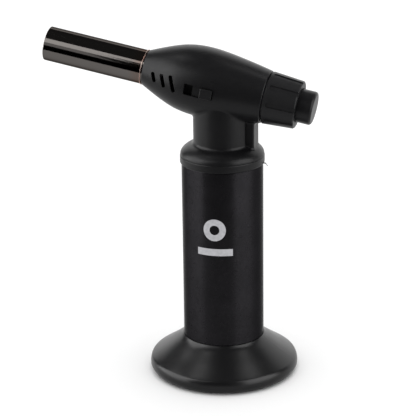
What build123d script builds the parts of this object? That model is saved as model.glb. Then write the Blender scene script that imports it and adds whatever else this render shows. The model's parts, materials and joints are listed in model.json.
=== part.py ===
"""Refillable butane torch: weighted foot, gas tank in a grip sleeve, moulded head, burner and piezo igniter.

Millimetres, +Z up. The pieces are made about the grip's axis, with the foot standing on Z = 0, and write_parts
moves them by GRIP_X, so that the origin is under the middle of the whole torch's box.
The head lies along its own axis, which rises towards the burner's mouth (-X side). Head parts are made in
the head frame: local Z runs along that axis towards the mouth, local X is up and local Y is the torch's right.
"""
from build123d import *
import os
from math import atan2, cos, degrees, pi, radians, sin, sqrt, tan

# ---------------------------------------------------------------- driving dimensions
GRIP_R = 28.0             # outside of the grip sleeve
FOOT_R = 51.9             # largest radius of the foot
FOOT_TOP = 26.8           # height at which the foot meets the sleeve
SLEEVE_TOP = 152.4        # top edge of the sleeve
BAND_TOP = 158.0          # top of the collar ring, where the shoulder starts
SHOULDER_TOP = 165.8      # height at which the shoulder meets the neck
NECK_R = 20.0             # front of the neck
HEAD_Z = 205.5            # height at which the head's axis crosses the grip's axis
HEAD_TILT = 10.5          # rise of the head's axis towards the mouth, degrees
BURNER_R = 11.8           # outside of the flame tube
BURNER_MOUTH = 124.8      # mouth of the flame tube, along the head's axis
HEAD_FRONT = 53.2         # front end of the head shells, along the head's axis
HEAD_REAR = -31.8         # rear end of the head shells
KNOB_REAR = -54.6         # rear end of the flow knob
BUTTON_END = -65.1        # outer face of the ignition button
BUTTON_R = 11.4
BUTTON_ROUND = 2.0        # rounding of its outer edge
GRIP_X = 29.46            # the grip's axis, from the middle of the whole torch's box

# ---------------------------------------------------------------- travels
BUTTON_TRAVEL = 6.0
LOCK_TRAVEL = 5.2
FILL_TRAVEL = 1.5

# ---------------------------------------------------------------- shared sizes
WALL = 2.2                # moulded wall of the head shells
SEAM_GAP = 0.12           # between the two head shells
RUNNING = 0.05            # radial clearance of a shaft in its bore
SLIDING = 0.3             # gap between pieces that move past each other
SLEEVE_WALL = 0.8
TANK_R = GRIP_R - SLEEVE_WALL - 0.1
TANK_WALL = 2.0
TANK_BOTTOM = 12.3
TANK_TOP = 150.0
VALVE_R = 4.5             # threaded body of the fill valve
LONG = 200.0              # longer than any piece, for cutting tools

AXIS_DIR = (-cos(radians(HEAD_TILT)), 0, sin(radians(HEAD_TILT)))
UP_DIR = (sin(radians(HEAD_TILT)), 0, cos(radians(HEAD_TILT)))
HEAD = Location(Plane(origin=(0, 0, HEAD_Z), x_dir=UP_DIR, z_dir=AXIS_DIR))


# ---------------------------------------------------------------- helpers
def turned(*points):
    """Solid of revolution about Z from the corners (radius, height) of its half section."""
    return revolve(Plane.XZ * make_face(Polyline(*points, close=True)), Axis.Z)


def tube(outer, inner, low, high):
    """Straight round tube, or a rod if inner is 0, about Z between two heights."""
    rod = Pos(0, 0, (low + high) / 2) * Cylinder(outer, high - low)
    if inner:
        rod -= Pos(0, 0, (low + high) / 2) * Cylinder(inner, high - low + 2)
    return rod


def block(x, y, z):
    """Box between the given (low, high) pairs."""
    centre = Pos((x[0] + x[1]) / 2, (y[0] + y[1]) / 2, (z[0] + z[1]) / 2)
    return centre * Box(x[1] - x[0], y[1] - y[0], z[1] - z[0])


def around(count, radius, phase=0.0):
    """Locations evenly spaced on a circle about Z."""
    return [Rot(0, 0, phase + 360.0 * k / count) * Pos(radius, 0, 0) for k in range(count)]


def wire_along(path, radius):
    """Round wire swept along a path."""
    section = Plane(origin=path @ 0, z_dir=path % 0) * Circle(radius)
    return sweep(section, path=path)


def coil_spring(radius, wire, low, high, turns):
    """Compression spring about Z between two heights."""
    height = high - low - 2 * wire
    helix = Helix(pitch=height / turns, height=height, radius=radius)
    return Pos(0, 0, low + wire) * wire_along(helix, wire)


def bent_rod(points, radius, bend):
    """Round rod in the local XZ plane through (x, z) points, with one bend radius."""
    path = FilletPolyline(*[(x, 0, z) for x, z in points], radius=bend)
    return wire_along(path, radius)


# ---------------------------------------------------------------- foot
SOCKET_R = TANK_R + 0.2
SOCKET_OUTER = SOCKET_R + 2.4
SOCKET_LOW = 3.0
HOLLOW_TOP = 20.5         # the foot is solid around the tank above this
LEDGE = (9.5, 12.0)       # the ring that the tank stands on
FILL_HOLE_R = 12.0        # hole in it for the fill valve
PAD_INNER = 42.0
PAD_OUTER = 46.4
PAD_PROUD = 0.5
HEEL_R = 4.8              # rounding under the foot's edge
FOOT_RIBS = 6
RIB_HALF = 1.0


def foot_hollow():
    """Space under the foot's wall."""
    mouth = PAD_INNER - 2
    return turned((0, -1), (mouth, -1), (mouth, 3.6), (46.2, 5.6), (46.0, 8.2), (41.5, 11.8), (35.0, 15.6),
                  (31.0, 19.4), (SOCKET_OUTER, HOLLOW_TOP), (0, HOLLOW_TOP))


def foot():
    bottom = (FOOT_R - HEEL_R, PAD_PROUD)
    widest = (FOOT_R, PAD_PROUD + HEEL_R)
    shoulder = (49.9, 10.8)
    shoulder_slope = (-1, 0.72)
    heel = RadiusArc(bottom, widest, -HEEL_R)
    rim = Spline(widest, (51.45, 8.2), shoulder, tangents=[(0, 1), shoulder_slope])
    flare = Spline(shoulder, (44.5, 14.4), (38.6, 18.4), (33.1, 22.4), (28.3, FOOT_TOP),
                   tangents=[shoulder_slope, (-0.6, 1)])
    inside = Polyline((28.3, FOOT_TOP), (0, FOOT_TOP), (0, PAD_PROUD), bottom)
    outer = revolve(Plane.XZ * make_face([heel, rim, flare, inside]), Axis.Z)
    shell = outer - foot_hollow() - tube(SOCKET_R, 0, HOLLOW_TOP - 1, FOOT_TOP + 1)
    return shell - tube(PAD_OUTER, PAD_INNER, -1, PAD_PROUD + 1.0)


def foot_socket():
    return tube(SOCKET_OUTER, SOCKET_R, SOCKET_LOW, HOLLOW_TOP)


def foot_ledge():
    return tube(SOCKET_R, FILL_HOLE_R, *LEDGE)


def foot_ribs():
    space = foot_hollow() - tube(SOCKET_OUTER, 0, -2, HOLLOW_TOP + 1)
    rib = block((SOCKET_OUTER - 1, FOOT_R), (-RIB_HALF, RIB_HALF), (SOCKET_LOW, HOLLOW_TOP + 1)) & space
    return Compound([Rot(0, 0, 360 * k / FOOT_RIBS) * rib for k in range(FOOT_RIBS)])


def foot_pad():
    pad = tube(PAD_OUTER - 0.05, PAD_INNER + 0.05, 0, PAD_PROUD + 0.95)
    return fillet(pad.edges().group_by(Axis.Z)[0], 0.3)


# ---------------------------------------------------------------- tank and its valves
LID_PLUG = 143.0
LID_FLANGE_TOP = SLEEVE_TOP
OUTLET_R = 5.5
OUTLET_TOP = 160.0
OUTLET_STEM_R = 1.5
FILL_STEM_R = 1.55
LEVER_PIN_R = 1.2
LEVER_X = -9.0
LEVER_Z = 162.6
LUGS_Y = [(-7.0, -5.0), (8.6, 10.6)]


def fuel_tank():
    tank = tube(TANK_R, 0, TANK_BOTTOM, TANK_TOP)
    tank = fillet(tank.edges().group_by(Axis.Z)[0], 1.5)
    cavity = tube(TANK_R - TANK_WALL, 0, TANK_BOTTOM + 4, TANK_TOP + 1)
    tank -= cavity - tube(8.0, 0, TANK_BOTTOM, TANK_BOTTOM + 11)
    tank -= tube(VALVE_R, 0, 0, 60)
    tank -= tube(6.4, 0, 0, TANK_BOTTOM + 0.7)
    return tank


def tank_lid():
    lid = tube(TANK_R - TANK_WALL - 0.1, 0, LID_PLUG, TANK_TOP)
    lid += tube(TANK_R, 0, TANK_TOP, LID_FLANGE_TOP)
    lid += tube(9.0, 0, TANK_TOP, LID_FLANGE_TOP + 2)
    for side in LUGS_Y:
        lug = block((LEVER_X - 3, LEVER_X + 3), side, (TANK_TOP + 1, LEVER_Z + 3))
        lid += fillet(lug.edges().filter_by(Axis.Y).group_by(Axis.Z)[-1], 2.5)
    lid -= tube(OUTLET_R, 0, 100, OUTLET_TOP)
    lid -= Pos(LEVER_X, 0, LEVER_Z) * Rot(90, 0, 0) * Cylinder(LEVER_PIN_R, 60)
    lid -= tube(TANK_R, TANK_R - TANK_WALL - 1.3, 145.5, 147.5)
    return lid


def tank_lid_seal():
    return tube(TANK_R - TANK_WALL, TANK_R - TANK_WALL - 1.3, 145.55, 147.45)


def gas_filter():
    return fillet(tube(3.4, 0, 118, 141).edges(), 0.6)


def grip_sleeve():
    sleeve = tube(GRIP_R, GRIP_R - SLEEVE_WALL, FOOT_TOP + 0.2, SLEEVE_TOP)
    outer_edges = sleeve.edges().filter_by(GeomType.CIRCLE).filter_by(lambda e: e.radius > GRIP_R - 0.1)
    return fillet(outer_edges, 0.3)


def fill_valve_body():
    body = turned((2.8, 7.5), (VALVE_R, 7.5), (VALVE_R, 23), (1.2, 23), (1.2, 21.5), (3.2, 21.5), (3.2, 13),
                  (FILL_STEM_R + RUNNING, 13), (FILL_STEM_R + RUNNING, 10), (2.8, 10))
    nut = Pos(0, 0, 10.2) * extrude(RegularPolygon(7.0, 6), 2.0)
    return body + (nut - tube(VALVE_R, 0, 5, 20))


def fill_valve_stem():
    return turned((0, 8.3), (1.2, 8.3), (FILL_STEM_R, 8.7), (FILL_STEM_R, 13.3), (2.9, 13.3), (2.9, 14.6),
                  (0, 14.6))


def fill_valve_spring():
    return coil_spring(2.3, 0.3, 14.7, 21.4, 6)


def fill_valve_seal():
    return tube(6.2, VALVE_R, TANK_BOTTOM - 0.08, TANK_BOTTOM + 0.65)


def outlet_valve_body():
    body = turned((1.0, 141), (OUTLET_R, 141), (OUTLET_R, OUTLET_TOP), (OUTLET_STEM_R + RUNNING, OUTLET_TOP),
                  (OUTLET_STEM_R + RUNNING, 155), (3.4, 155), (3.4, 146), (1.0, 146))
    nut = Pos(0, 0, LID_FLANGE_TOP + 2) * extrude(RegularPolygon(8.0, 6), 2.2)
    return body + (nut - tube(OUTLET_R, 0, 140, 170))


def outlet_valve_stem():
    return turned((0, 146.3), (3.1, 146.3), (3.1, 148.4), (OUTLET_STEM_R, 148.4), (OUTLET_STEM_R, 164),
                  (4.0, 164), (4.0, 165.2), (OUTLET_STEM_R, 165.2), (OUTLET_STEM_R, 169.2), (1.2, 169.6),
                  (0.7, 169.6), (0.7, 158), (0, 158))


def outlet_valve_spring():
    return coil_spring(2.5, 0.35, 148.5, 154.9, 5)


# ---------------------------------------------------------------- collar
COLLAR_R = 29.0
COLLAR_ROUND = 0.8
SKIRT_R = 26.3
CLIP_WIRE = 0.45
CLIP_R = 27.05
CLIP_BEND = 0.9           # where the wire turns out through the notch
CLIP_Z = SLEEVE_TOP + 0.75
GROOVE_TOP = SLEEVE_TOP + 1.5
NOTCH_Y = (-0.7, 1.5)     # opening in the collar ring for the clip's tail


def collar_ring():
    ring = tube(COLLAR_R, SKIRT_R + 0.1, SLEEVE_TOP + 0.1, BAND_TOP - 0.05)
    outer_edges = ring.edges().filter_by(GeomType.CIRCLE).filter_by(lambda e: e.radius > COLLAR_R - 0.1)
    ring = fillet(outer_edges, COLLAR_ROUND)
    ring -= tube(CLIP_R + CLIP_WIRE + 0.2, 0, SLEEVE_TOP, GROOVE_TOP)
    return ring - block((CLIP_R, LONG), NOTCH_Y, (SLEEVE_TOP, GROOVE_TOP))


def retaining_clip():
    """One wire: most of a ring, a bend out through the collar's notch, and a short tail."""
    bend_x = sqrt(CLIP_R ** 2 + 2 * CLIP_R * CLIP_BEND)
    meets = degrees(atan2(CLIP_BEND, bend_x))
    ring = CenterArc((0, 0, CLIP_Z), CLIP_R, meets, 340)
    bend = CenterArc((bend_x, CLIP_BEND, CLIP_Z), CLIP_BEND, 180 + meets, 90 - meets)
    tail = FilletPolyline((bend_x, 0, CLIP_Z), (30.4, 0, CLIP_Z), (32.0, 0, CLIP_Z - 1.7), radius=0.9)
    return wire_along(Wire([ring, bend, *tail.edges()]), CLIP_WIRE)


# ---------------------------------------------------------------- head shells
NECK_X = 0.3              # centre of the neck's front cylinder
NECK_CUT = 18.3           # the cylinder stops here, and only the spine goes on
NECK_TOP_ROUND = 2.0      # where the neck meets the head
NECK_FOOT_ROUND = 2.5     # where it meets the shoulder
SPINE_X = 23.9
SPINE_HALF = 6.95
MOUNT_FLANGE = (36.5, 40.0)
FRONT_WALL = 46.0         # the shells are solid from here to the front end, along the head's axis
REAR_WALL = -29.5
KNOB_TUBE_R = 14.8        # tube of the knob's gear ring, which turns in the rear wall
BRACKET = (-25.5, -22.5)  # igniter bracket, along the head's axis
WINDOW = (0.2, 20.2)      # lock slider's window, along the head's axis
WINDOW_X = -0.6
WINDOW_HALF = 3.8
TUBE_SEAT_R = BURNER_R - 0.3   # the flame tube is turned down where the head and the trim ring hold it
TRIM_RING = (HEAD_FRONT + 1.0, HEAD_FRONT + 1.6)
SCREW_R = 1.4
SCREW_HEAD_R = 2.7
SCREW_SEAT = 11.0         # the screw heads sit this far to the right of the split plane
SCREW_REACH = -6.0
BOSS_R = 3.2
SCREW_SITES = [HEAD * Pos(13.0, 0, -13.0), HEAD * Pos(14.5, 0, 17.0), HEAD * Pos(-15.5, 0, 25.0),
               Location((14.0, 0, 175.0))]
VENT_COUNT = 3
VENT_FIRST = 43.6         # centre of the front vent, along the head's axis
VENT_STEP = 7.2
VENT_LENGTH = 7.1         # front vent, and each next one is longer by VENT_GROWTH
VENT_GROWTH = 2.35
VENT_WIDTH = 2.8
VENT_LEAN = 67.5          # degrees from the head's axis


def head_form(inset):
    """Body of revolution of the head, moved inwards by inset, in the head frame."""
    rear = (18.0 - inset, HEAD_REAR)
    front = (12.2 - inset, HEAD_FRONT)
    side = Spline(rear, (21.7 - inset, -10), (23.8 - inset, 14), (22.15 - inset, 28), (18.9 - inset, 38), front,
                  tangents=[(0.2, 1), (-0.47, 1)])
    ends = Polyline(front, (0, HEAD_FRONT), (0, HEAD_REAR), rear)
    return revolve(Plane.XZ * make_face([side, ends]), Axis.Z)


def neck_form(inset, low, high):
    """Neck: a cylinder in front, a narrower flat-backed spine behind."""
    front = Pos(NECK_X, 0) * Circle(NECK_R - inset)
    front -= Pos(NECK_CUT - inset + LONG / 2, 0) * Rectangle(LONG, LONG)
    spine = Pos((SPINE_X - inset) / 2, 0) * Rectangle(SPINE_X - inset, 2 * (SPINE_HALF - inset))
    section = front + fillet(spine.vertices().group_by(Axis.X)[-1], max(1.2 - inset, 0.3))
    section = fillet(section.vertices().filter_by(lambda v: v.X > 10 and abs(v.Y) > SPINE_HALF + 0.5), 0.8)
    return Pos(0, 0, low) * extrude(section, high - low)


def shoulder_form(inset):
    """Rounded shoulder from the collar ring to the neck."""
    rim = (COLLAR_R - 0.25 - inset, BAND_TOP)
    top = (NECK_R - 1.5, SHOULDER_TOP + 0.4 - inset)
    dome = Spline(rim, (27.2 - inset, 161.8 - 0.6 * inset), (24.0 - 0.6 * inset, 164.2 - inset), top,
                  tangents=[(0, 1), (-1, 0.33)])
    base = Polyline(top, (0, SHOULDER_TOP + 0.4 - inset), (0, BAND_TOP), rim)
    return revolve(Plane.XZ * make_face([dome, base]), Axis.Z)


def loop_edges(form, low, high):
    """Edges where the neck meets its neighbours between two heights, without the spine's own seam."""
    edges = form.edges().filter_by(lambda e: e.geom_type != GeomType.LINE and low < e.center().Z < high)
    edges = edges.filter_by(lambda e: e.center().X < SPINE_X + 0.2)
    return edges.filter_by(lambda e: max(abs((e @ t).Y) for t in (0, 0.5, 1)) > 0.01)


def head_outside():
    head = head_form(0)
    head = fillet(head.edges().filter_by(GeomType.CIRCLE).group_by(Axis.Z)[0], 0.8)
    form = HEAD * head + neck_form(0, SHOULDER_TOP - 4, HEAD_Z)
    form += shoulder_form(0)
    form = fillet(loop_edges(form, 182, 197), NECK_TOP_ROUND)
    return fillet(loop_edges(form, 163, 166.2), NECK_FOOT_ROUND)


def head_inside():
    """Hollow of the head, neck and shoulder, with the openings for the burner, the knob and the tank."""
    hollow = head_form(WALL) & tube(LONG, 0, REAR_WALL, FRONT_WALL)
    hollow -= tube(LONG / 2, BURNER_R + 0.3, MOUNT_FLANGE[1] + 0.1, MOUNT_FLANGE[1] + 1.9)
    hollow += tube(TUBE_SEAT_R + 0.03, 0, 30, HEAD_FRONT + 1)
    hollow += tube(KNOB_TUBE_R + 0.2, 0, HEAD_REAR - 1, 0)
    hollow = HEAD * hollow + neck_form(WALL, SHOULDER_TOP - 6, HEAD_Z)
    dome = shoulder_form(WALL) - tube(LONG, SKIRT_R - WALL, BAND_TOP - 1, BAND_TOP + 1.5)
    hollow += dome - tube(LONG, 0, SHOULDER_TOP - WALL, 200)
    return hollow + tube(SKIRT_R - WALL, 0, SLEEVE_TOP, BAND_TOP + 1)


SIDE = Plane(origin=(0, 0, 0), x_dir=(0, 0, 1), z_dir=(0, 1, 0))   # sketch X along the head's axis, Y up


def across(radius, low, high):
    """Rod along Y between two distances from the split plane."""
    return Pos(0, (low + high) / 2, 0) * Rot(90, 0, 0) * Cylinder(radius, high - low)


def vents():
    """Slanted slots with round ends, cut through the walls on both sides of the head."""
    cutters = Part()
    for k in range(VENT_COUNT):
        outline = Pos(VENT_FIRST - k * VENT_STEP, -0.1) * Rot(0, 0, VENT_LEAN)
        outline *= SlotOverall(VENT_LENGTH + k * VENT_GROWTH, VENT_WIDTH)
        cutters += extrude(SIDE * outline, LONG / 2, both=True)
    return cutters - tube(BURNER_R + 1.2, 0, 0, 60)


def lock_window():
    """Opening for the lock slider in the left side of the head."""
    middle = (WINDOW[0] + WINDOW[1]) / 2
    outline = Pos(middle, WINDOW_X) * RectangleRounded(WINDOW[1] - WINDOW[0], 2 * WINDOW_HALF, 0.6)
    return extrude(SIDE * outline, -LONG) - block((-LONG, LONG), (-15, LONG), (-LONG, LONG))


def screw_posts(form):
    posts = Part()
    for site in SCREW_SITES:
        posts += site * across(BOSS_R, -LONG / 2, LONG / 2)
    return posts & form


def screw_holes():
    holes = Part()
    for site in SCREW_SITES:
        holes += site * (across(SCREW_R, SCREW_REACH, SCREW_SEAT) + across(SCREW_HEAD_R + 0.2, SCREW_SEAT, LONG))
    return holes


def head_shells():
    """Left and right halves of the head, split along the middle plane."""
    form = head_outside()
    shell = form - head_inside() + tube(SKIRT_R, SKIRT_R - WALL, SLEEVE_TOP + 0.1, BAND_TOP)
    shell += screw_posts(form)
    shell -= screw_holes()
    shell -= HEAD * vents()
    shell -= HEAD * lock_window()
    left = shell & block((-LONG, LONG), (-LONG, -SEAM_GAP / 2), (0, 2 * LONG))
    right = shell & block((-LONG, LONG), (SEAM_GAP / 2, LONG), (0, 2 * LONG))
    return left, right


def shell_screws():
    screw = across(SCREW_R, SCREW_REACH + 0.5, SCREW_SEAT) + across(SCREW_HEAD_R, SCREW_SEAT, SCREW_SEAT + 1.7)
    for turn in (0, 90):
        screw -= Rot(0, turn, 0) * block((-1.7, 1.7), (SCREW_SEAT + 0.7, SCREW_SEAT + 2), (-0.35, 0.35))
    return Compound([site * screw for site in SCREW_SITES])


# ---------------------------------------------------------------- burner, in the head frame
MIXER_R = 6.0
MIXER_BORE = 5.2
MIXER_END = 104.0
FLAME_BORE = BURNER_R - 0.8
MOUTH_ROUND = 0.45        # rounding of the tube's outer edge at its mouth
HOLDER_AT = 98.0
ELECTRODE_X = 8.6
JET_R = 2.5


def flame_tube():
    shell = turned((FLAME_BORE, MOUNT_FLANGE[1]), (TUBE_SEAT_R, MOUNT_FLANGE[1]), (TUBE_SEAT_R, TRIM_RING[1]),
                   (BURNER_R, TRIM_RING[1]), (BURNER_R, BURNER_MOUTH), (FLAME_BORE, BURNER_MOUTH))
    outer_lip = shell.edges().filter_by(GeomType.CIRCLE).group_by(Axis.Z)[-1].sort_by(SortBy.RADIUS)[-1]
    return HEAD * fillet(outer_lip, MOUTH_ROUND)


def trim_ring():
    ring = tube(BURNER_R + 0.45, TUBE_SEAT_R, *TRIM_RING)
    outer = ring.edges().filter_by(GeomType.CIRCLE).filter_by(lambda e: e.radius > BURNER_R + 0.2)
    return HEAD * fillet(outer, 0.2)


def burner_mount():
    mount = turned((MIXER_R, MOUNT_FLANGE[0]), (13.4, MOUNT_FLANGE[0]), (13.4, MOUNT_FLANGE[1]),
                   (FLAME_BORE, MOUNT_FLANGE[1]), (FLAME_BORE, FRONT_WALL), (MIXER_R, FRONT_WALL))
    return HEAD * (mount - Pos(ELECTRODE_X, 0, 0) * tube(1.5, 0, 30, 50))


def mixing_tube():
    pipe = tube(MIXER_R, MIXER_BORE, 24.0, MIXER_END)
    for turn in (0, 90):
        pipe -= Pos(0, 0, 30.5) * Rot(0, 0, turn + 45) * Rot(0, 90, 0) * Cylinder(1.8, 20)
    return HEAD * pipe


def jet_holder():
    return HEAD * turned((0.8, 21), (7.0, 21), (7.0, 24), (MIXER_BORE, 24), (MIXER_BORE, 27), (JET_R, 27),
                         (JET_R, 22.5), (0.8, 22.5))


def gas_jet():
    return HEAD * turned((0.3, 22.5), (JET_R, 22.5), (JET_R, 27.6), (1.1, 31), (0.3, 31))


def flame_holder():
    """Cupped ring that centres the mixing tube in the flame tube and lets air past."""
    cup = turned((MIXER_R, HOLDER_AT), (FLAME_BORE, HOLDER_AT), (FLAME_BORE, HOLDER_AT + 4),
                 (FLAME_BORE - 0.5, HOLDER_AT + 4), (FLAME_BORE - 0.5, HOLDER_AT + 0.8), (MIXER_R, HOLDER_AT + 0.8))
    for place in around(10, ELECTRODE_X):
        cup -= place * tube(1.2, 0, HOLDER_AT - 1, HOLDER_AT + 2)
    return HEAD * cup


def flame_mesh():
    mesh = tube(MIXER_BORE, 0, MIXER_END - 2, MIXER_END - 1.2)
    places = [Location((0, 0, 0))] + around(6, 1.9) + around(12, 3.8, 15)
    for place in places:
        mesh -= place * tube(0.55, 0, MIXER_END - 3, MIXER_END)
    return HEAD * mesh


def electrode_insulator():
    return HEAD * Pos(ELECTRODE_X, 0, 0) * tube(1.5, 0.55, 29.5, 97.0)


def electrode_wire():
    return HEAD * bent_rod([(ELECTRODE_X, 29.5), (ELECTRODE_X, 106), (5.4, 109.2)], 0.5, 1.5)


# ---------------------------------------------------------------- gas control, in the head frame
SPINDLE_X = -8.4          # axis of the needle spindle, below the head's axis
SPINDLE_R = 1.6
VALVE_BLOCK_R = 4.2
PORT_S = -6.0             # hose port of the valve block, along the head's axis
GEAR_MODULE = 0.7
RING_TEETH = 36
PINION_TEETH = 12
TOOTH_HEIGHT = 0.6        # above the pitch circle
TOOTH_ROOT = 0.85         # below it
GEAR_FACE = (-29.2, -27.0)


def geared_outline(teeth, tip, root, phase):
    """Closed outline with straight-sided teeth between a root and a tip radius."""
    tip_half = 0.26 / tip
    root_half = 0.62 / root
    corners = []
    for k in range(teeth):
        middle = radians(phase) + 2 * pi * k / teeth
        for radius, angle in ((root, -root_half), (tip, -tip_half), (tip, tip_half), (root, root_half)):
            corners.append((radius * cos(middle + angle), radius * sin(middle + angle)))
    return make_face(Polyline(*corners, close=True))


def needle_pinion():
    pitch_r = GEAR_MODULE * PINION_TEETH / 2
    gear = extrude(geared_outline(PINION_TEETH, pitch_r + TOOTH_HEIGHT, pitch_r - TOOTH_ROOT, 0), 2.4)
    gear = Pos(SPINDLE_X, 0, GEAR_FACE[0] + 0.2) * gear
    return HEAD * (gear - Pos(SPINDLE_X, 0, 0) * tube(SPINDLE_R, 0, -40, 0))


def needle_spindle():
    spindle = turned((0, -31), (SPINDLE_R, -31), (SPINDLE_R, -7.5), (0.6, -6.5), (0.6, -5.2), (0, -4.6))
    return HEAD * Pos(SPINDLE_X, 0, 0) * spindle


def valve_block():
    body = tube(VALVE_BLOCK_R, 0, BRACKET[1], 4.0)
    body -= tube(SPINDLE_R + RUNNING, 0, -30, PORT_S)
    body -= tube(0.75, 0, -30, 10)
    body -= tube(2.6, 0, -18.0, -16.5)
    port = Pos(-VALVE_BLOCK_R - 1.7, 0, PORT_S) * Rot(0, 90, 0)
    body += port * Cylinder(1.6, 4.4)
    body -= port * Cylinder(0.7, 7.0)
    return HEAD * Pos(SPINDLE_X, 0, 0) * body


def spindle_seal():
    return HEAD * Pos(SPINDLE_X, 0, 0) * tube(2.55, SPINDLE_R + RUNNING, -17.95, -16.55)


def feed_pipe():
    return HEAD * bent_rod([(SPINDLE_X, 4.0), (SPINDLE_X, 9.0), (0, 16.0), (0, 21.0)], 1.3, 3.5)


def gas_hose():
    """Flexible hose from the outlet valve's stem up to the valve block's port."""
    port = HEAD * Pos(SPINDLE_X - VALVE_BLOCK_R - 0.1, 0, PORT_S)
    top = port.position
    lean = tan(radians(HEAD_TILT))
    knee = (0, 0, top.Z - top.X / lean)
    path = FilletPolyline((0, 0, 167.4), knee, (top.X, 0, top.Z), radius=24)
    return wire_along(path, 2.7) - wire_along(path, 1.65)


# ---------------------------------------------------------------- flow knob
KNOB_FRONT = -32.8
KNOB_BORE = BUTTON_R + 0.3
GROOVES = 9
GROOVE_WIDTH = 3.2
GROOVE_DEPTH = 0.7
GROOVE_FRONT = -36.2      # middle of the round front end of the grooves
GROOVE_PHASE = -89.0
BUTTON_FLANGE = 13.2


def flow_knob():
    """Tapered cap that turns on the head's rear, with grooves that run out through its rear edge."""
    rear = (15.2, KNOB_REAR)
    cheek = (16.35, KNOB_REAR + 1.2)
    brim = (17.9, KNOB_FRONT - 0.3)
    outline = [Polyline(cheek, brim, (17.6, KNOB_FRONT), (KNOB_TUBE_R, KNOB_FRONT), (KNOB_TUBE_R, -51.6),
                        (KNOB_BORE, -51.6), (KNOB_BORE, KNOB_REAR + 0.5), (KNOB_BORE + 0.5, KNOB_REAR), rear),
               RadiusArc(rear, cheek, -1.2)]
    knob = revolve(Plane.XZ * make_face(outline), Axis.Z)
    taper = (brim[0] - cheek[0]) / (brim[1] - cheek[1])
    bottom_r = brim[0] - taper * (brim[1] - GROOVE_FRONT) - GROOVE_DEPTH
    tall, reach = 4.0, 24.0
    cutter = Pos(0, 0, -reach / 2) * Box(tall, GROOVE_WIDTH, reach)
    cutter += Rot(0, 90, 0) * Cylinder(GROOVE_WIDTH / 2, tall)
    cutter = Pos(bottom_r + tall / 2, 0, GROOVE_FRONT) * Rot(0, degrees(atan2(taper, 1)), 0) * cutter
    for k in range(GROOVES):
        knob -= Rot(0, 0, GROOVE_PHASE + 360 * k / GROOVES) * cutter
    return HEAD * knob


def knob_gear_ring():
    pitch_r = GEAR_MODULE * RING_TEETH / 2
    tooth_zone = geared_outline(RING_TEETH, pitch_r - TOOTH_HEIGHT, pitch_r + TOOTH_ROOT, 180 / RING_TEETH)
    ring = turned((0, -49), (KNOB_TUBE_R, -49), (KNOB_TUBE_R, GEAR_FACE[0]), (16.2, GEAR_FACE[0]),
                  (16.2, GEAR_FACE[1]), (0, GEAR_FACE[1]))
    ring -= tube(BUTTON_FLANGE + 0.4, 0, -60, GEAR_FACE[0])
    return HEAD * (ring - Pos(0, 0, GEAR_FACE[0] - 1) * extrude(tooth_zone, 5))


# ---------------------------------------------------------------- ignition button and piezo igniter
ARM_Y = (5.2, 7.8)
ARM_X = 2.0
ARM_END = 7.0
PLUNGER_R = 3.0
PIEZO_HALF = (4.0, 4.5)
PIEZO = (-24.0, 6.0)


def ignition_button():
    cap = turned((0, BUTTON_END), (BUTTON_R, BUTTON_END), (BUTTON_R, -51.2), (BUTTON_FLANGE, -51.2),
                 (BUTTON_FLANGE, -49.7), (9.8, -49.7), (9.8, -63), (0, -63))
    rim = cap.edges().filter_by(GeomType.CIRCLE).group_by(Axis.Z)[0]
    return HEAD * fillet(rim, BUTTON_ROUND)


def button_pusher():
    carriage = tube(9.7, 0, -54, -49.7) + tube(BUTTON_FLANGE, 0, -49.7, -48) + tube(PLUNGER_R, 0, -48, -31)
    carriage += block((-ARM_X, ARM_X), ARM_Y, (-48, ARM_END))
    return HEAD * carriage


def piezo_plunger():
    return HEAD * turned((0, -31), (PLUNGER_R, -31), (PLUNGER_R, -18), (1.2, -18), (1.2, -16.5), (0, -16.5))


def piezo_case():
    case = block((-PIEZO_HALF[0], PIEZO_HALF[0]), (-PIEZO_HALF[1], PIEZO_HALF[1]), PIEZO)
    case = fillet(case.edges().filter_by(Axis.Z), 1.0)
    return HEAD * (case - tube(PLUNGER_R + 0.1, 0, -30, -9.5))


def piezo_spring():
    return HEAD * coil_spring(2.2, 0.35, -17.9, -9.6, 6)


def piezo_contact():
    tab = tube(1.4, 0, PIEZO[1], PIEZO[1] + 1.6)
    return HEAD * (tab + block((-1, 1), (-2.6, 2.6), (PIEZO[1], PIEZO[1] + 0.5)))


def ignition_lead():
    start = PIEZO[1] + 1.6
    return HEAD * bent_rod([(0, start), (0, 10.5), (ELECTRODE_X, 18.0), (ELECTRODE_X, 29.5)], 0.9, 3.5)


def igniter_bracket():
    """Disc across the rear of the head, open at its top, that holds the igniter and the valve block."""
    disc = tube(17.0, 0, *BRACKET)
    disc -= block((-PIEZO_HALF[0], PIEZO_HALF[0]), (-PIEZO_HALF[1], PIEZO_HALF[1]), (-30, 0))
    disc -= block((-ARM_X - SLIDING, ARM_X + SLIDING), (0, ARM_Y[1] + SLIDING), (-30, 0))
    disc -= Pos(SPINDLE_X, 0, 0) * tube(SPINDLE_R + 0.25, 0, -30, 0)
    disc -= block((8.0, LONG), (-5.0, 5.0), (-30, 0))
    return HEAD * disc


# ---------------------------------------------------------------- valve lever
FORK_HALF = 3.9
FORK_GAP = 1.9
LEVER_BOSS_R = 2.4
LEVER_ARM_Y = (5.4, 8.0)
LEVER_FACE = -7.6         # rear face of the lever's arm, which the pusher meets


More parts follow.
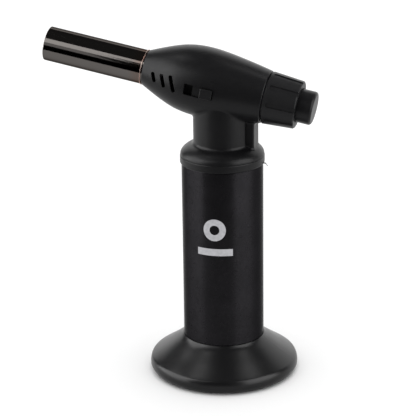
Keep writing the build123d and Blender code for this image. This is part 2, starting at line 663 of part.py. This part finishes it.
def valve_lever():
    """Bell crank: the button's pusher swings the arm, and the fork lifts the outlet valve's stem."""
    to_pin = Pos(LEVER_X, 0, LEVER_Z)
    boss = to_pin * across(LEVER_BOSS_R, -4.5, LEVER_ARM_Y[1])
    fork = block((LEVER_X, 2.2), (-FORK_HALF, FORK_HALF), (LEVER_Z - 0.9, LEVER_Z + 1.0))
    fork -= block((LEVER_X + 4, 5), (-FORK_GAP, FORK_GAP), (LEVER_Z - 2, LEVER_Z + 2))
    arm = block((LEVER_FACE - 3, LEVER_FACE), LEVER_ARM_Y, (LEVER_Z, 208.4))
    arm = fillet(arm.edges().filter_by(Axis.Y).group_by(Axis.Z)[-1], 1.2)
    return boss + fork + arm - to_pin * across(LEVER_PIN_R + RUNNING, -30, 30)


def lever_pin():
    return Pos(LEVER_X, 0, LEVER_Z) * across(LEVER_PIN_R, LUGS_Y[0][0], LUGS_Y[1][1])


# ---------------------------------------------------------------- lock slider
PLATE_Y = (-19.4, -17.6)


def lock_slider():
    """Thumb pad in the side window, with the plate and the catch behind it."""
    plate = block((WINDOW_X - 5.6, WINDOW_X + 5.6), PLATE_Y, (-2.0, 14.4))
    half = WINDOW_HALF - SLIDING
    low_pad = block((WINDOW_X - half, WINDOW_X + half), (-22.4, PLATE_Y[0]), (0.6, 14.4))
    thumb = block((WINDOW_X - half, WINDOW_X + half), (-25.0, PLATE_Y[0]), (0.6, 9.0))
    thumb = fillet(thumb.edges().filter_by(Axis.Y), 0.9)
    thumb = fillet(thumb.edges().group_by(Axis.Y)[0], 0.6)
    catch = block((-2.6, 1.4), (PLATE_Y[1], -13.0), (2.0, 6.0))
    return HEAD * (plate + low_pad + thumb + catch)


def lock_guide():
    """Frame behind the slider that keeps it in its window."""
    frame = block((WINDOW_X - 7.4, WINDOW_X + 7.4), (-17.3, -15.6), (-5.0, 25.6))
    frame -= block((-3.0, 1.8), (-30, 0), (1.6, 6.4 + LOCK_TRAVEL))
    for s in (-3.8, 24.4):
        frame += Pos(WINDOW_X, 0, s) * across(1.1, -19.6, -16)
    return HEAD * frame


# ---------------------------------------------------------------- writing the parts
def write_parts():
    left, right = head_shells()
    solids = {"head_shell_left": left, "head_shell_right": right}
    makers = [
        foot, foot_socket, foot_ledge, foot_ribs, foot_pad,
        fuel_tank, tank_lid, tank_lid_seal, gas_filter, grip_sleeve,
        fill_valve_body, fill_valve_stem, fill_valve_spring, fill_valve_seal,
        outlet_valve_body, outlet_valve_stem, outlet_valve_spring,
        collar_ring, retaining_clip, shell_screws,
        flame_tube, trim_ring, burner_mount, mixing_tube, jet_holder, gas_jet, flame_holder, flame_mesh,
        electrode_insulator, electrode_wire,
        needle_pinion, needle_spindle, valve_block, spindle_seal, feed_pipe, gas_hose,
        flow_knob, knob_gear_ring,
        ignition_button, button_pusher, piezo_plunger, piezo_case, piezo_spring, piezo_contact,
        ignition_lead, igniter_bracket, valve_lever, lever_pin, lock_slider, lock_guide,
    ]
    for make in makers:
        solids[make.__name__] = make()
    os.makedirs("parts", exist_ok=True)
    for name, solid in solids.items():
        solid = Pos(GRIP_X, 0, 0) * solid
        solid.label = name
        export_step(solid, os.path.join("parts", name + ".step"))


write_parts()
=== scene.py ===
"""Looks, light and camera for the butane torch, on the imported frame. Metres, +Z up, burner towards -X."""
import json
from math import atan2, cos, pi, radians, sin

import bmesh
import bpy
from mathutils import Matrix, Vector
from mathutils.bvhtree import BVHTree

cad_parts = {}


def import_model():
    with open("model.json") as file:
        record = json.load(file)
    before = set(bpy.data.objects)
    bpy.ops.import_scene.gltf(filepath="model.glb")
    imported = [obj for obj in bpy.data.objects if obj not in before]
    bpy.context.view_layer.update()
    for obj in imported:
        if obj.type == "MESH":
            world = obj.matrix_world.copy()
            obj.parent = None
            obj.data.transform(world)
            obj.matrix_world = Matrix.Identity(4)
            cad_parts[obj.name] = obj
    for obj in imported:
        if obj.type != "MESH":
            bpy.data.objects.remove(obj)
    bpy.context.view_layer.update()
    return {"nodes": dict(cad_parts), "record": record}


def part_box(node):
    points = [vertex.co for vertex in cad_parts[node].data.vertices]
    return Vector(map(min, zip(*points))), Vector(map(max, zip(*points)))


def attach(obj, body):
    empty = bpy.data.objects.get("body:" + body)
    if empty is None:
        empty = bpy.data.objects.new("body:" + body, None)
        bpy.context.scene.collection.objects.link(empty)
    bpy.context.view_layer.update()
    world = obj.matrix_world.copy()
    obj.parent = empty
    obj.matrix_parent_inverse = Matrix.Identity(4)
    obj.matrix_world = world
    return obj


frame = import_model()
nodes = frame["nodes"]
MM = 0.001

# ---------------------------------------------------------------- places on the torch
sleeve_low, sleeve_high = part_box("grip_sleeve")
GRIP_X = (sleeve_low.x + sleeve_high.x) / 2
GRIP_R = (sleeve_high.x - sleeve_low.x) / 2
HEAD_HEIGHT = 0.2055      # of the middle of the head
HEAD_CENTRE = Vector((GRIP_X, 0, HEAD_HEIGHT))
HEAD_TILT = radians(10.5)
ALONG = Vector((-cos(HEAD_TILT), 0, sin(HEAD_TILT)))   # the head's axis, towards the mouth
UP = Vector((sin(HEAD_TILT), 0, cos(HEAD_TILT)))
SEEN_LEFT = Vector((0, -1, 0))
TUBE_START = 0.0532       # where the flame tube leaves the head, along the head's axis


# ---------------------------------------------------------------- materials
SLEEVE_TURN = 0.25        # quarter turn: the brush lines run around the sleeve


class Surface:
    """A Principled material with procedural colour, roughness and bump in the torch's own coordinates."""

    def __init__(self, name, colour, roughness, metallic=0.0, specular=0.5):
        self.material = bpy.data.materials.new(name)
        self.material.use_nodes = True
        self.tree = self.material.node_tree
        self.shader = self.tree.nodes["Principled BSDF"]
        self.colour = colour
        self.roughness = roughness
        self.place = self.tree.nodes.new("ShaderNodeTexCoord").outputs["Object"]
        self.set("Base Color", (*colour, 1))
        self.set("Roughness", roughness)
        self.set("Metallic", metallic)
        self.set("Specular IOR Level", specular)

    def set(self, socket, value):
        self.shader.inputs[socket].default_value = value
        return self

    def node(self, kind, **inputs):
        made = self.tree.nodes.new(kind)
        for key, value in inputs.items():
            made.inputs[key.replace("_", " ")].default_value = value
        return made

    def link(self, source, target):
        self.tree.links.new(source, target)

    def noise(self, scale, detail=3.0, stretch=(1, 1, 1)):
        """Noise whose scale is in features per metre, drawn out where stretch is small."""
        mapping = self.node("ShaderNodeMapping", Scale=stretch)
        noise = self.node("ShaderNodeTexNoise", Scale=scale, Detail=detail)
        self.link(self.place, mapping.inputs["Vector"])
        self.link(mapping.outputs["Vector"], noise.inputs["Vector"])
        return noise.outputs["Fac"]

    def ranged(self, source, low, high, to_low, to_high):
        ranger = self.node("ShaderNodeMapRange", From_Min=low, From_Max=high, To_Min=to_low, To_Max=to_high)
        self.link(source, ranger.inputs["Value"])
        return ranger.outputs["Result"]

    def mixed(self, factor, first, second):
        """Colour between two, each a colour or a socket."""
        mix = self.tree.nodes.new("ShaderNodeMix")
        mix.data_type = "RGBA"
        self.link(factor, mix.inputs["Factor"])
        for socket, value in ((mix.inputs[6], first), (mix.inputs[7], second)):
            if isinstance(value, tuple):
                socket.default_value = (*value, 1)
            else:
                self.link(value, socket)
        return mix.outputs[2]

    def finish(self, source):
        self.link(source, self.shader.inputs["Base Color"])
        return self

    def mottled(self, other, scale=45, spread=0.06):
        """Slow change of colour towards another one, with the roughness changing over finer patches."""
        self.body = self.mixed(self.ranged(self.noise(scale), 0.35, 0.7, 0, 1), self.colour, other)
        self.finish(self.body)
        patches = self.noise(scale * 6, 5)
        rough = self.ranged(patches, 0.3, 0.7, self.roughness - spread, self.roughness + spread)
        self.link(rough, self.shader.inputs["Roughness"])
        return self

    def grained(self, scale, depth_mm, stretch=(1, 1, 1), detail=4.0, edge_mm=0.0):
        """Fine surface texture, over edges that shade as if rounded to edge_mm."""
        bump = self.node("ShaderNodeBump", Strength=1.0, Distance=depth_mm * MM)
        self.link(self.noise(scale, detail, stretch), bump.inputs["Height"])
        if edge_mm:
            edge = self.node("ShaderNodeBevel", Radius=edge_mm * MM)
            self.link(edge.outputs["Normal"], bump.inputs["Normal"])
        self.link(bump.outputs["Normal"], self.shader.inputs["Normal"])
        return self

    def banded(self, axis, origin, stops):
        """Colour changing with the distance along an axis: stops are (metres, colour)."""
        offset = self.node("ShaderNodeVectorMath")
        offset.operation = "SUBTRACT"
        offset.inputs[1].default_value = origin
        along = self.node("ShaderNodeVectorMath")
        along.operation = "DOT_PRODUCT"
        along.inputs[1].default_value = axis
        self.link(self.place, offset.inputs[0])
        self.link(offset.outputs["Vector"], along.inputs[0])
        for (start, _), (end, colour) in zip(stops, stops[1:]):
            part = self.ranged(along.outputs["Value"], start, end, 0, 1)
            self.body = self.mixed(part, self.body, colour)
        return self.finish(self.body)


def make_materials():
    """Material of each slot, and of the marks on the sleeve."""
    made = {
        "shell_plastic": Surface("shell", (0.0050, 0.0050, 0.0056), 0.36, specular=0.13)
        .mottled((0.0060, 0.0059, 0.0065), 45, 0.025)
        .grained(2600, 0.010, edge_mm=0.15),
        "knob_plastic": Surface("knob", (0.0075, 0.0075, 0.0082), 0.42, specular=0.13)
        .mottled((0.0088, 0.0087, 0.0094), 45, 0.03)
        .grained(2200, 0.016, edge_mm=0.25),
        "slider_plastic": Surface("slider", (0.0072, 0.0072, 0.0078), 0.38, specular=0.13)
        .mottled((0.0068, 0.0067, 0.0072), 45, 0.03)
        .grained(2200, 0.012, edge_mm=0.20),
        "foot_plastic": Surface("foot", (0.0048, 0.0048, 0.0053), 0.29, specular=0.20)
        .mottled((0.0056, 0.0055, 0.0060), 30, 0.015)
        .grained(2400, 0.008),
        "sleeve_anodised": Surface("sleeve", (0.0135, 0.0130, 0.0142), 0.30, metallic=1.0)
        .mottled((0.0165, 0.0158, 0.0174), 60, 0.04)
        .set("Specular Tint", (0.50, 0.50, 0.50, 1))
        .set("Anisotropic", 0.8)
        .set("Anisotropic Rotation", SLEEVE_TURN)
        .grained(5200, 0.030, (0.02, 0.02, 1.0), 5),
        "gunmetal": Surface("flame_tube", (0.093, 0.087, 0.082), 0.09, metallic=1.0)
        .mottled((0.108, 0.101, 0.095), 70, 0.02)
        .set("Specular Tint", (0.30, 0.30, 0.30, 1))
        .grained(1500, 0.002),
        "copper_trim": Surface("trim", (0.36, 0.21, 0.17), 0.24, metallic=1.0)
        .mottled((0.24, 0.21, 0.19), 160, 0.05)
        .grained(3000, 0.004),
        "tank_nylon": Surface("tank", (0.55, 0.55, 0.52), 0.42)
        .mottled((0.62, 0.61, 0.58))
        .grained(900, 0.02),
        "brass": Surface("brass", (0.62, 0.42, 0.16), 0.28, metallic=1.0)
        .mottled((0.50, 0.33, 0.13), 120)
        .grained(3000, 0.006, (1, 1, 0.1)),
        "steel": Surface("steel", (0.52, 0.52, 0.53), 0.30, metallic=1.0)
        .mottled((0.42, 0.42, 0.44), 120)
        .grained(3000, 0.006, (1, 1, 0.1)),
        "zinc": Surface("zinc", (0.36, 0.36, 0.38), 0.48, metallic=1.0)
        .mottled((0.28, 0.28, 0.30), 90)
        .grained(1400, 0.02),
        "rubber": Surface("rubber", (0.014, 0.014, 0.014), 0.75, specular=0.25)
        .mottled((0.022, 0.022, 0.022), 80)
        .grained(1600, 0.03),
        "hose_silicone": Surface("hose", (0.42, 0.38, 0.32), 0.5)
        .mottled((0.36, 0.32, 0.27))
        .grained(900, 0.01),
        "ceramic": Surface("ceramic", (0.80, 0.78, 0.73), 0.22)
        .mottled((0.72, 0.68, 0.60), 90)
        .grained(900, 0.01),
        "inner_plastic": Surface("inner", (0.045, 0.045, 0.050), 0.5)
        .mottled((0.06, 0.06, 0.065))
        .grained(1600, 0.02),
        "felt": Surface("felt", (0.62, 0.58, 0.50), 0.95, specular=0.1)
        .mottled((0.50, 0.46, 0.40), 200)
        .grained(2500, 0.08),
        "wire_insulation": Surface("lead", (0.30, 0.02, 0.015), 0.42)
        .mottled((0.24, 0.02, 0.015))
        .grained(900, 0.01),
        "marking": Surface("marking", (0.42, 0.42, 0.44), 0.45)
        .mottled((0.34, 0.34, 0.36), 400, 0.08)
        .grained(4000, 0.006),
    }
    heat_tint = [(0.0, None), (0.003, (0.105, 0.083, 0.072)), (0.010, (0.098, 0.091, 0.086))]
    made["gunmetal"].banded(ALONG, HEAD_CENTRE + ALONG * TUBE_START, heat_tint)
    return {slot: surface.material for slot, surface in made.items()}


materials = make_materials()
for part in frame["record"]["subparts"]:
    mesh = nodes[part["node"]].data
    mesh.materials.clear()
    mesh.materials.append(materials[part["material_slot"]])


# ---------------------------------------------------------------- generic marks
MARK_TURN = 3.0           # degrees from the sleeve's left side to the marks' middle
MARK_THICKNESS = 0.00012
DASH_THICKNESS = 0.0004
OUTSIDE = 0.06            # clear of the head, from its axis


def patch(name, rows, columns, place, thickness, closed, slot):
    """Thin closed piece laid on a surface: place(u, v) gives a point for u and v from 0 to 1."""
    mesh = bmesh.new()
    steps = columns if closed else columns - 1
    grid = [[mesh.verts.new(place(i / steps, j / (rows - 1))) for i in range(columns)] for j in range(rows)]
    for j in range(rows - 1):
        for i in range(steps):
            k = (i + 1) % columns
            mesh.faces.new((grid[j][i], grid[j][k], grid[j + 1][k], grid[j + 1][i]))
    bmesh.ops.recalc_face_normals(mesh, faces=mesh.faces)
    data = bpy.data.meshes.new(name)
    mesh.to_mesh(data)
    mesh.free()
    made = bpy.data.objects.new(name, data)
    bpy.context.scene.collection.objects.link(made)
    solid = made.modifiers.new("thickness", "SOLIDIFY")
    solid.thickness = thickness
    solid.offset = 0
    data.materials.append(materials["marking" if slot == "sleeve_anodised" else slot])
    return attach(made, "torch")


def on_sleeve(turn, u, height):
    """Point on the sleeve: turn in degrees from the left side, u metres around, at a height."""
    angle = radians(-90 + turn) + u / GRIP_R
    return Vector((GRIP_X + GRIP_R * cos(angle), GRIP_R * sin(angle), height))


def sleeve_ring(name, centre, inner, outer):
    """Printed ring on the sleeve, centred at a height."""
    def place(u, v):
        radius = inner + (outer - inner) * v
        return on_sleeve(MARK_TURN, radius * cos(2 * pi * u), centre + radius * sin(2 * pi * u))
    return patch(name, 4, 64, place, MARK_THICKNESS, True, "sleeve_anodised")


def sleeve_bar(name, centre, width, height):
    """Printed bar across the sleeve, centred at a height."""
    def place(u, v):
        return on_sleeve(MARK_TURN, width * (u - 0.5), centre + height * (v - 0.5))
    return patch(name, 3, 24, place, MARK_THICKNESS, False, "sleeve_anodised")


head_surface = BVHTree.FromPolygons([v.co for v in nodes["head_shell_left"].data.vertices],
                                    [p.vertices for p in nodes["head_shell_left"].data.polygons])


def on_head(along_mm, angle):
    """Point on the head's left side: distance along its axis, and degrees above its side."""
    outward = SEEN_LEFT * cos(radians(angle)) + UP * sin(radians(angle))
    axis_point = HEAD_CENTRE + ALONG * along_mm * MM
    return head_surface.ray_cast(axis_point + outward * OUTSIDE, -outward)[0]


def raised_dash(name, along_mm, angle, length_mm, spread):
    """Short moulded dash that lies along the head."""
    def place(u, v):
        return on_head(along_mm + length_mm * (u - 0.5), angle + spread * (v - 0.5))
    return patch(name, 3, 10, place, DASH_THICKNESS, False, "shell_plastic")


sleeve_ring("sleeve_mark_ring", centre=0.1120, inner=0.0034, outer=0.0078)
sleeve_bar("sleeve_mark_bar", centre=0.0960, width=0.0250, height=0.0050)
for number, along_mm in enumerate((20.4, 17.6, 14.8), start=1):
    raised_dash("window_mark_%d" % number, along_mm, angle=29, length_mm=1.9, spread=2.0)
raised_dash("window_mark_4", 1.0, angle=22.5, length_mm=5.0, spread=1.8)


# ---------------------------------------------------------------- floor, light and camera
FLOOR_REACH = 4.0
FLOOR_FRONT = -0.41       # the torch reflects the floor as far forward as this


def floor(name, front, back, reflected):
    """Strip of the pale floor between two depths."""
    bpy.ops.mesh.primitive_plane_add(size=1, location=(GRIP_X, (front + back) / 2, 0))
    plane = bpy.context.object
    plane.name = name
    plane.scale = (2 * FLOOR_REACH, back - front, 1)
    plane.visible_glossy = reflected
    pale = Surface(name, (0.86, 0.86, 0.86), 0.9, specular=0.05)
    pale.mottled((0.87, 0.87, 0.87), 2, 0.02)
    plane.data.materials.append(pale.material)


def softbox(name, position, target, width, height, brightness):
    """Rectangle of light that the torch reflects, and that leaves the floor alone."""
    light = bpy.data.lights.new(name, "AREA")
    light.shape = "RECTANGLE"
    light.size = width
    light.size_y = height
    light.energy = brightness * pi * width * height
    lamp = bpy.data.objects.new(name, light)
    lamp.location = position
    lamp.rotation_euler = (Vector(target) - Vector(position)).to_track_quat("-Z", "Y").to_euler()
    lamp.visible_diffuse = False
    lamp.visible_camera = False
    bpy.context.scene.collection.objects.link(lamp)


def upright(name, x, y, z, brightness):
    """Softbox that stands upright at a depth y and faces the torch, between two sides x and two heights z."""
    middle = Vector(((x[0] + x[1]) / 2, y, (z[0] + z[1]) / 2))
    softbox(name, middle, (middle.x, 0, middle.z), x[1] - x[0], z[1] - z[0], brightness)


def daylight(strength, angle):
    """Wide soft light from overhead, which isn't itself reflected."""
    light = bpy.data.lights.new("overhead", "SUN")
    light.energy = strength
    light.angle = radians(angle)
    lamp = bpy.data.objects.new("overhead", light)
    lamp.visible_glossy = False
    bpy.context.scene.collection.objects.link(lamp)


def world(strength):
    """Even white surroundings, which aren't themselves reflected."""
    made = bpy.data.worlds.new("studio")
    made.use_nodes = True
    made.node_tree.nodes["Background"].inputs["Color"].default_value = (1, 1, 1, 1)
    made.node_tree.nodes["Background"].inputs["Strength"].default_value = strength
    made.cycles_visibility.glossy = False
    bpy.context.scene.world = made


def camera():
    """The viewpoint: in front of the torch's left side, a little above it."""
    heading, pitch, roll = 0.2707, 0.3398, -0.012
    place = Vector((GRIP_X + 0.30387, -1.13314, 0.53320))
    forward = Vector((-sin(heading) * cos(pitch), cos(heading) * cos(pitch), -sin(pitch)))
    level = Vector((cos(heading), sin(heading), 0))
    raised = level.cross(forward)
    right = level * cos(roll) + raised * sin(roll)
    above = raised * cos(roll) - level * sin(roll)
    data = bpy.data.cameras.new("camera")
    data.sensor_width = 36
    data.lens = 156.25
    made = bpy.data.objects.new("camera", data)
    pose = Matrix((right, above, -forward)).transposed().to_4x4()
    pose.translation = place
    made.matrix_world = pose
    bpy.context.scene.collection.objects.link(made)
    bpy.context.scene.camera = made


SIDE_TARGET = (GRIP_X, 0, 0.72)       # the side boxes face the torch's axis, well above it
TOP_TARGET = (GRIP_X, 0, 0.02)        # the top boxes face the foot
TOP_HEIGHT = 1.42
TOP_SIZE = 0.36
TOP_BRIGHTNESS = 4.6
FRONT_DEPTH = -0.70
FRONT_LEFT = -1.30
BACK_DEPTH = 2.0
CEILING_HEIGHT = 2.4

floor("floor", FLOOR_FRONT, FLOOR_REACH, True)
floor("floor_in_front", -FLOOR_REACH, FLOOR_FRONT, False)
world(1.0)
daylight(1.0, 60)
softbox("left_box", (-1.06, -0.36, 0.72), SIDE_TARGET, 1.4, 1.5, 5.6)
softbox("right_box", (1.12, -0.32, 0.72), SIDE_TARGET, 1.2, 1.4, 5.2)
softbox("left_top", (GRIP_X - 0.54, 0.0, TOP_HEIGHT), TOP_TARGET, TOP_SIZE, TOP_SIZE, TOP_BRIGHTNESS)
softbox("right_top", (GRIP_X + 0.47, 0.26, TOP_HEIGHT), TOP_TARGET, TOP_SIZE, TOP_SIZE, TOP_BRIGHTNESS)
upright("front_top", (FRONT_LEFT, -0.08), FRONT_DEPTH, (0.70, 1.02), 2.7)
upright("front_middle", (FRONT_LEFT, -0.172), FRONT_DEPTH, (0.52, 0.70), 2.7)
upright("front_low", (-0.90, -0.215), FRONT_DEPTH, (0.28, 0.52), 0.9)
upright("backdrop", (-2.5, 2.5), BACK_DEPTH, (0.05, CEILING_HEIGHT), 1.7)
softbox("ceiling", (GRIP_X, 0.2, CEILING_HEIGHT), (GRIP_X, 0, 0), 4.0, 4.0, 0.07)
camera()
bpy.context.scene.view_settings.view_transform = "Standard"
